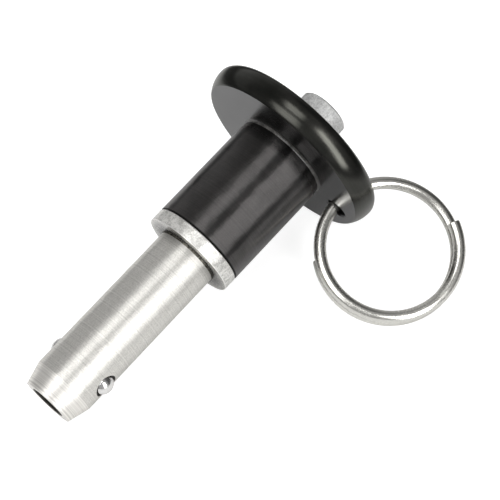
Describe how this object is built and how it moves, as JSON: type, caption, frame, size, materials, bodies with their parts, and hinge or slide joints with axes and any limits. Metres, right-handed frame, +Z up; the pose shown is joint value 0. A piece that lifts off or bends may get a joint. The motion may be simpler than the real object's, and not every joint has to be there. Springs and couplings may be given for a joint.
{
  "type": "ball lock pin",
  "caption": "Quick-release locking pin: a push button in a flanged handle frees two spring-loaded balls near the nose, and a split ring hangs from the flange.",
  "frame": {"origin": "on the floor under the middle of the pin's box, where the pin lies on its flange's rim and the edge behind its nose", "axes": "+X from the nose towards the button, level; +Y to the side away from the split ring; +Z up. The pin's own axis rises 11.87 degrees from +X towards +Z"},
  "size_m": [0.0778, 0.0556, 0.0366],
  "materials": {
    "stainless_steel": "turned and ground stainless steel",
    "black_handle": "turned aluminium, black anodised, semi-gloss",
    "spindle_steel": "turned stainless steel",
    "button_steel": "turned stainless steel, fine satin",
    "spring_steel": "drawn spring wire",
    "ball_steel": "polished hardened steel",
    "ring_steel": "bright stainless wire"
  },
  "bodies": {
    "body": {"shank": "stainless_steel", "handle": "black_handle", "spring": "spring_steel"},
    "plunger": {"button": "button_steel", "spindle": "spindle_steel"},
    "ball_1": {"ball_1": "ball_steel"},
    "ball_2": {"ball_2": "ball_steel"},
    "ring": {"split_ring": "ring_steel"}
  },
  "joints": [
    {"name": "button_press", "type": "slide", "parent": "body", "child": "plunger", "axis": [-0.9786, 0, -0.2057], "range_m": [0, 0.0044], "stiffness_N_per_m": 1500, "springref_m": -0.004, "deforming": ["spring"]},
    {"name": "ball_1_drop", "type": "slide", "parent": "body", "child": "ball_1", "axis": [0, 1, 0], "range_m": [0, 0.0011]},
    {"name": "ball_2_drop", "type": "slide", "parent": "body", "child": "ball_2", "axis": [0, -1, 0], "range_m": [0, 0.0011]},
    {"name": "ring_swing", "type": "hinge", "parent": "body", "child": "ring", "pos_m": [0.02598, -0.00279, 0.01166], "axis": [0.9786, 0, 0.2057], "range_deg": [-110, 122]}
  ],
  "couplings": [
    {"joint": "ball_1_drop", "follows": "button_press", "ratio": 0.25},
    {"joint": "ball_2_drop", "follows": "button_press", "ratio": 0.25}
  ]
}
